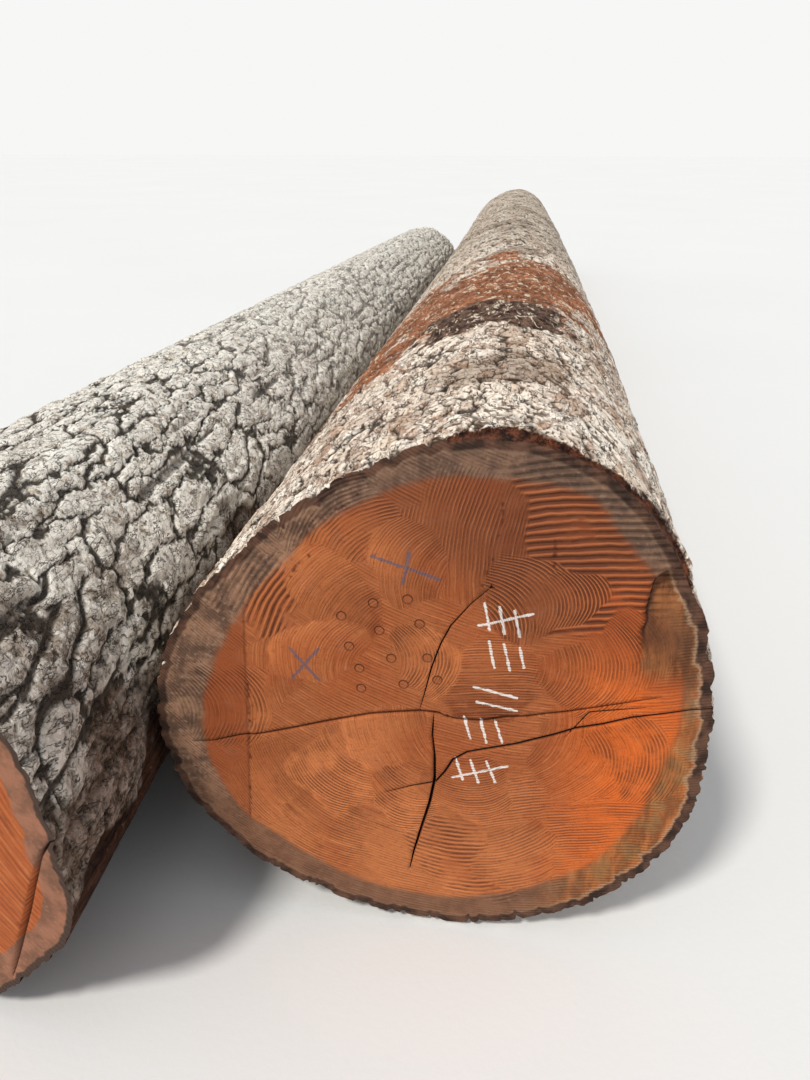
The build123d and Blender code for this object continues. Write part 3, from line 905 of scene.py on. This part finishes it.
def saw_pass(p, place, middle, facing, radius, spacing):
    """One pass of the saw: its grooves from -1 to 1, its run in marks, and its own two directions."""
    side = math.radians(facing)
    away = p.vector("SUBTRACT", place, (middle[0] * MM, middle[1] * MM, 0.0))
    along = p.vector("DOT_PRODUCT", away, (math.cos(side), math.sin(side), 0.0))
    over = p.vector("DOT_PRODUCT", away, (-math.sin(side), math.cos(side), 0.0))
    bend = p.sum("DIVIDE", p.sum("MULTIPLY", over, over), 2 * radius * MM)
    run = p.sum("DIVIDE", p.sum("ADD", along, bend), spacing * MM)
    return p.sum("SINE", p.sum("MULTIPLY", run, TURN)), run, along, over


def scratches(p, run, over, number):
    """Fine scratches that follow the marks of a pass, from 0 to 1."""
    join = p.node("ShaderNodeCombineXYZ")
    p.give(join.inputs[0], p.sum("MULTIPLY", run, 2.1))
    p.give(join.inputs[1], p.sum("MULTIPLY", over, 9.0))
    p.give(join.inputs[2], number)
    return p.noise(join.outputs[0], 1.0, 4.0, 0.7)


def strokes(p, place, lines, width, wobble):
    """1 on the strokes and 0 away from them, with a crumbly edge."""
    gap = None
    for line in lines:
        one = stroke_gap(p, place, line)
        gap = one if gap is None else p.sum("MINIMUM", gap, one)
    crumb = p.sum("ADD", gap, p.sum("MULTIPLY", p.sum("SUBTRACT", wobble, 0.5), width * 1.6))
    return p.rise(crumb, width * 0.6, width * 0.3)


SWEEP = 0.30


def right_face_material():
    """The near face of the right log: orange heartwood, grey sapwood, many saw passes."""
    p = Paint("sawn_right")
    sap, strip, gouge = p.masks("mask_a")
    inside, lines, rim = p.masks("mask_b")
    upper, flank, low = p.masks("mask_c")
    place = face_place(p, RIGHT.near)
    fine = p.noise(place, 90.0, 5.0, 0.62)
    middle = p.noise(place, 22.0, 5.0, 0.6)
    broad = p.noise(place, 5.5, 3.0, 0.5)
    shake = p.noise(place, 7.0, 3.0, 0.5)
    patch = p.noise(place, 8.0, 2.0, 0.4)
    near = shaken(p, place, shake, 0.018)
    arcs = None
    for number, (cu, cv, reach, facing, radius, spacing, tone, depth) in enumerate(SAW_PASSES):
        wave, run, along, over = saw_pass(p, near, (cu, cv), facing, radius, spacing)
        wave = p.sum("MULTIPLY", wave, depth)
        sweep = p.sum("MULTIPLY", along, SWEEP / (reach * MM))
        if arcs is None:
            arcs, marks, across, light, own = wave, run, over, tone, 0.0
            continue
        gap = p.vector("DISTANCE", near, (cu * MM, cv * MM, 0.0))
        gap = p.sum("ADD", gap, p.sum("MULTIPLY", p.sum("SUBTRACT", patch, 0.5), 0.16))
        here = p.rise(gap, reach * MM * 1.10, reach * MM * 0.90)
        chosen = p.sum("GREATER_THAN", here, 0.5)
        arcs = p.blend(here, arcs, wave)
        light = p.blend(here, light, p.sum("ADD", sweep, tone))
        marks = p.blend(chosen, marks, run)
        across = p.blend(chosen, across, over)
        own = p.blend(chosen, own, 3.7 * number)
    scratch = scratches(p, marks, across, own)
    uneven = p.noise(place, 13.0, 3.0, 0.6)
    arcs = p.sum("MULTIPLY", arcs, p.rise(uneven, 0.34, 0.60, 0.3, 1.2))
    wood = p.mix(light, (0.13, 0.028, 0.007), (0.60, 0.190, 0.062))
    wood = p.mix(p.rise(middle, 0.40, 0.65, 0.0, 0.3), wood, (0.45, 0.122, 0.037))
    wood = p.mix(p.rise(broad, 0.45, 0.62, 0.0, 0.5), wood, (0.34, 0.074, 0.017))
    wood = p.mix(p.sum("MULTIPLY", low, p.rise(broad, 0.65, 0.35, 0.15, 0.6)), wood, (0.60, 0.20, 0.066))
    wood = p.mix(p.sum("MULTIPLY", flank, p.rise(middle, 0.3, 0.7, 0.55, 0.9)), wood, (0.72, 0.130, 0.013))
    wood = p.mix(p.rise(scratch, 0.51, 0.72, 0.0, 0.5), wood, (0.70, 0.25, 0.09))
    wood = p.mix(p.rise(scratch, 0.48, 0.30, 0.0, 0.6), wood, (0.16, 0.036, 0.010))
    wood = p.mix(p.rise(fine, 0.46, 0.34, 0.0, 0.3), wood, (0.19, 0.042, 0.012))
    wood = p.mix(p.rise(arcs, 0.25, 0.9, 0.0, 0.45), wood, (0.62, 0.20, 0.070))
    wood = p.mix(p.rise(arcs, -0.25, -1.1, 0.0, 0.9), wood, (0.085, 0.020, 0.007))
    wood = p.mix(p.sum("MULTIPLY", upper, p.rise(arcs, -0.5, 0.6, 0.8, 0.3)), wood, (0.13, 0.036, 0.015))
    wood = p.mix(p.sum("MULTIPLY", strip, 0.6), wood, (0.26, 0.060, 0.018))
    wood = p.mix(p.rise(p.sum("ABSOLUTE", p.sum("SUBTRACT", strip, 0.5)), 0.45, 0.1, 0.0, 0.5), wood, (0.12, 0.03, 0.01))
    ring_sap = p.mix(p.rise(middle, 0.38, 0.62), (0.13, 0.070, 0.044), (0.31, 0.165, 0.098))
    ring_sap = p.mix(p.rise(fine, 0.53, 0.66, 0.0, 0.8), ring_sap, (0.33, 0.21, 0.145))
    ring_sap = p.mix(p.rise(fine, 0.46, 0.36, 0.0, 0.5), ring_sap, (0.07, 0.042, 0.030))
    ring_sap = p.mix(p.rise(scratch, 0.48, 0.32, 0.0, 0.5), ring_sap, (0.07, 0.042, 0.030))
    ring_sap = p.mix(p.rise(arcs, -0.2, -1.0, 0.0, 0.6), ring_sap, (0.045, 0.028, 0.020))
    ring_sap = p.mix(p.sum("MULTIPLY", low, 0.75), ring_sap,
                     p.mix(middle, (0.14, 0.062, 0.032), (0.24, 0.105, 0.054)))
    bands = p.noise(p.stretch(place, (1.0, 0.30, 1.0)), 34.0, 5.0, 0.65)
    banded = p.mix(p.rise(bands, 0.40, 0.60), (0.24, 0.080, 0.023), (0.47, 0.145, 0.036))
    banded = p.mix(p.rise(bands, 0.56, 0.68, 0.0, 0.6), banded, (0.50, 0.27, 0.10))
    mottle = p.sum("MULTIPLY", p.rise(sap, 0.55, 1.0), p.rise(middle, 0.46, 0.60, 0.0, 0.6))
    banded = p.mix(mottle, banded, p.mix(fine, (0.13, 0.070, 0.026), (0.38, 0.22, 0.080)))
    ring_sap = p.mix(p.sum("MULTIPLY", flank, 0.9), ring_sap, banded)
    ring_sap = p.mix(p.sum("MULTIPLY", upper, 0.45), ring_sap, (0.105, 0.062, 0.044))
    stain = p.sum("ADD", sap, p.sum("MULTIPLY", p.sum("SUBTRACT", middle, 0.5), 0.9))
    wood = p.mix(p.rise(stain, -0.05, 0.75), wood, ring_sap)
    scooped = p.mix(p.rise(bands, 0.38, 0.62), (0.12, 0.040, 0.012), (0.34, 0.125, 0.042))
    scooped = p.mix(p.rise(middle, 0.55, 0.68, 0.0, 0.6), scooped, (0.12, 0.055, 0.022))
    # Painted shadow in the gouge: grey-brown shade under its upper wall, and a near-black shadow line along its
    # upper edge.
    top = p.rise(p.vector("DISTANCE", place, (GOUGE[0] * MM, GOUGE[1] * MM, 0.0)), 0.15, 0.08)
    scooped = p.mix(p.sum("MULTIPLY", top, p.rise(gouge, 1.05, 0.5, 0.15, 0.75)), scooped, (0.095, 0.042, 0.022))
    scooped = p.mix(p.sum("MULTIPLY", top, p.rise(gouge, 0.44, 0.26)), scooped, (0.025, 0.009, 0.005))
    wood = p.mix(p.rise(gouge, 0.02, 0.25, 0.0, 0.92), wood, scooped)
    bark_edge = p.sum("ADD", rim, p.sum("MULTIPLY", fine, 0.35))
    bark_edge = p.sum("ADD", bark_edge, p.sum("MULTIPLY", flank, p.rise(middle, 0.38, 0.62, 0.04, 0.26)))
    ring = p.sum("MULTIPLY", p.rise(bark_edge, 0.46, 0.66), p.sum("ADD", p.sum("MULTIPLY", flank, 0.4), 0.1))
    wood = p.mix(ring, wood, (0.44, 0.29, 0.18))
    bark_wood = p.mix(p.rise(middle, 0.35, 0.65), (0.030, 0.015, 0.010), (0.13, 0.062, 0.038))
    wood = p.mix(p.rise(bark_edge, 0.66, 0.90), wood, bark_wood)
    chalk = strokes(p, place, CHALK, 0.0055, fine)
    wood = p.mix(p.sum("MULTIPLY", chalk, 0.85), wood, (0.86, 0.80, 0.74))
    crayon = strokes(p, place, CRAYON, 0.007, fine)
    wood = p.mix(p.sum("MULTIPLY", crayon, 0.7), wood, (0.10, 0.095, 0.13))
    # Painted shade along the shallow step grooves.
    wood = p.mix(p.rise(lines, 0.1, 0.8, 0.0, 0.75), wood, (0.075, 0.020, 0.008))
    # Painted shade: the insides of the splits are darkened to near black.
    wood = p.mix(p.rise(inside, 0.05, 0.5), wood, (0.012, 0.005, 0.003))
    height = p.sum("MULTIPLY", arcs, 0.75)
    height = p.sum("ADD", height, p.sum("MULTIPLY", scratch, 0.9))
    height = p.sum("ADD", height, p.sum("MULTIPLY", fine, 0.5))
    height = p.sum("ADD", height, p.sum("MULTIPLY", middle, 0.8))
    dent = None
    for u, v in DENTS:
        one = p.vector("DISTANCE", place, (u * MM, v * MM, 0.0))
        dent = one if dent is None else p.sum("MINIMUM", dent, one)
    height = p.sum("SUBTRACT", height, p.rise(dent, 0.010, 0.0075, 0.0, 1.2))
    wood = p.mix(p.rise(dent, 0.0115, 0.0095, 0.0, 0.7), wood, (0.10, 0.025, 0.010))
    wood = p.mix(p.rise(dent, 0.0085, 0.007, 0.0, 0.5), wood, (0.50, 0.15, 0.05))
    return p.finish(wood, 0.75, height, 0.0024, 0.2)


def plain_face_material(name, cut, spacing):
    """A sawn face with long shallow arcs, a dark rim and a grey-brown sapwood ring."""
    p = Paint(name)
    sap, _, _ = p.masks("mask_a")
    inside, lines, rim = p.masks("mask_b")
    place = face_place(p, cut)
    fine = p.noise(place, 90.0, 5.0, 0.62)
    middle = p.noise(place, 20.0, 5.0, 0.6)
    broad = p.noise(place, 5.0, 3.0, 0.5)
    shake = p.noise(place, 10.0, 2.0, 0.5)
    arcs, run, _, over = saw_pass(p, shaken(p, place, shake, 0.02), (0, 0), 200, 700, spacing)
    scratch = scratches(p, run, over, 1.5)
    wood = p.mix(broad, (0.42, 0.090, 0.015), (0.30, 0.062, 0.010))
    wood = p.mix(p.rise(middle, 0.42, 0.62, 0.0, 0.5), wood, (0.46, 0.125, 0.030))
    wood = p.mix(p.rise(arcs, 0.1, 1.0, 0.0, 0.2), wood, (0.52, 0.17, 0.05))
    wood = p.mix(p.rise(arcs, -0.2, -1.0, 0.0, 0.35), wood, (0.18, 0.040, 0.009))
    wood = p.mix(p.rise(scratch, 0.50, 0.68, 0.0, 0.5), wood, (0.58, 0.19, 0.06))
    wood = p.mix(p.rise(scratch, 0.48, 0.32, 0.0, 0.6), wood, (0.16, 0.036, 0.008))
    grey = p.mix(p.rise(middle, 0.35, 0.65), (0.17, 0.074, 0.040), (0.31, 0.130, 0.072))
    grey = p.mix(p.rise(fine, 0.54, 0.70, 0.0, 0.6), grey, (0.32, 0.17, 0.105))
    wood = p.mix(p.rise(p.sum("ADD", sap, p.sum("MULTIPLY", middle, 0.5)), 0.6, 0.9), wood, grey)
    rim_dark = p.rise(p.sum("ADD", rim, p.sum("MULTIPLY", fine, 0.25)), 0.80, 0.95)
    wood = p.mix(rim_dark, wood, (0.05, 0.026, 0.016))
    # Painted shade: the insides of the splits are darkened to near black.
    wood = p.mix(p.rise(inside, 0.05, 0.5), wood, (0.012, 0.005, 0.003))
    height = p.sum("MULTIPLY", arcs, 0.35)
    height = p.sum("ADD", height, p.sum("MULTIPLY", fine, 0.9))
    height = p.sum("ADD", height, p.sum("MULTIPLY", middle, 0.8))
    return p.finish(wood, 0.75, height, 0.0022, 0.3)


def dress(piece, material, node):
    piece.data.materials.append(material)
    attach(piece, "root")
    if node:
        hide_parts(node)


SCALY = scaly_bark()
RIDGED = ridged_bark()

right_near, right_rim, _ = bark_piece("right_bark_near", RIGHT, right_bark, right_relief, 0.0, 1.0, 140, 600)
right_middle, _, _ = bark_piece("right_bark_middle", RIGHT, right_bark, right_relief, 0.99, 3.5, 180, 420)
right_far, _, right_end = bark_piece("right_bark_far", RIGHT, right_bark, right_relief, 3.48, 10.25, 200, 280)
left_near, left_rim, _ = bark_piece("left_bark_near", LEFT, left_bark, left_relief, 0.0, 2.0, 220, 400)
left_far, _, left_end = bark_piece("left_bark_far", LEFT, left_bark, left_relief, 1.98, 8.35, 200, 300)

for piece in (right_near, right_middle, right_far):
    dress(piece, SCALY, "log_right")
for piece in (left_near, left_far):
    dress(piece, RIDGED, "log_left")

right_face = face_piece(
    "right_near_face", RIGHT.near, right_rim, right_relief, RIGHT_CRACKS, RIGHT_STEPS, 6.0, right_face_masks
)
left_face = face_piece(
    "left_near_face", LEFT.near, left_rim, left_relief, LEFT_CRACKS, [], 8.0, left_face_masks
)
right_back = face_piece(
    "right_far_face", RIGHT.far, right_end, far_relief, [], [], 14.0, left_face_masks
)
left_back = face_piece(
    "left_far_face", LEFT.far, left_end, far_relief, [], [], 14.0, left_face_masks
)
dress(right_face, right_face_material(), "log_right")
dress(left_face, plain_face_material("sawn_left", LEFT.near, 14), "log_left")
dress(right_back, plain_face_material("sawn_right_back", RIGHT.far, 14), "log_right")
dress(left_back, plain_face_material("sawn_left_back", LEFT.far, 14), "log_left")

# The studio


def floor_material():
    p = Paint("studio_floor")
    tone = p.noise(p.place, 0.4, 2.0, 0.5)
    colour = p.mix(tone, (0.74, 0.74, 0.73), (0.78, 0.78, 0.77))
    grain = p.noise(p.place, 60.0, 2.0, 0.5)
    return p.finish(colour, 0.9, grain, 0.0005, 0.2)


floor_mesh = bpy.data.meshes.new("studio_floor")
FLOOR_REACH = 60.0
floor_mesh.from_pydata(
    [(-FLOOR_REACH, -FLOOR_REACH, 0), (FLOOR_REACH, -FLOOR_REACH, 0),
     (FLOOR_REACH, FLOOR_REACH, 0), (-FLOOR_REACH, FLOOR_REACH, 0)],
    [],
    [(0, 1, 2, 3)],
)
floor = bpy.data.objects.new("studio_floor", floor_mesh)
floor_mesh.materials.append(floor_material())
bpy.context.scene.collection.objects.link(floor)

world = bpy.data.worlds.new("studio_world")
world.use_nodes = True
bpy.context.scene.world = world
tree = world.node_tree
sky = tree.nodes["Background"]
sky.inputs["Color"].default_value = (0.92, 0.95, 1.0, 1.0)
sky.inputs["Strength"].default_value = 0.62
white = tree.nodes.new("ShaderNodeBackground")
white.inputs["Color"].default_value = (0.93, 0.93, 0.92, 1.0)
white.inputs["Strength"].default_value = 1.0
rays = tree.nodes.new("ShaderNodeLightPath")
either = tree.nodes.new("ShaderNodeMath")
either.operation = "MAXIMUM"
tree.links.new(rays.outputs["Is Camera Ray"], either.inputs[0])
tree.links.new(rays.outputs["Is Glossy Ray"], either.inputs[1])
choice = tree.nodes.new("ShaderNodeMixShader")
tree.links.new(either.outputs[0], choice.inputs[0])
tree.links.new(sky.outputs[0], choice.inputs[1])
tree.links.new(white.outputs[0], choice.inputs[2])
tree.links.new(choice.outputs[0], tree.nodes["World Output"].inputs["Surface"])

sun_data = bpy.data.lights.new("sun", "SUN")
sun_data.energy = 2.5
sun_data.angle = math.radians(9.0)
sun_data.color = (1.0, 0.97, 0.92)
sun = bpy.data.objects.new("sun", sun_data)
sun.rotation_euler = (math.radians(38.0), 0.0, math.radians(-30.0))
bpy.context.scene.collection.objects.link(sun)
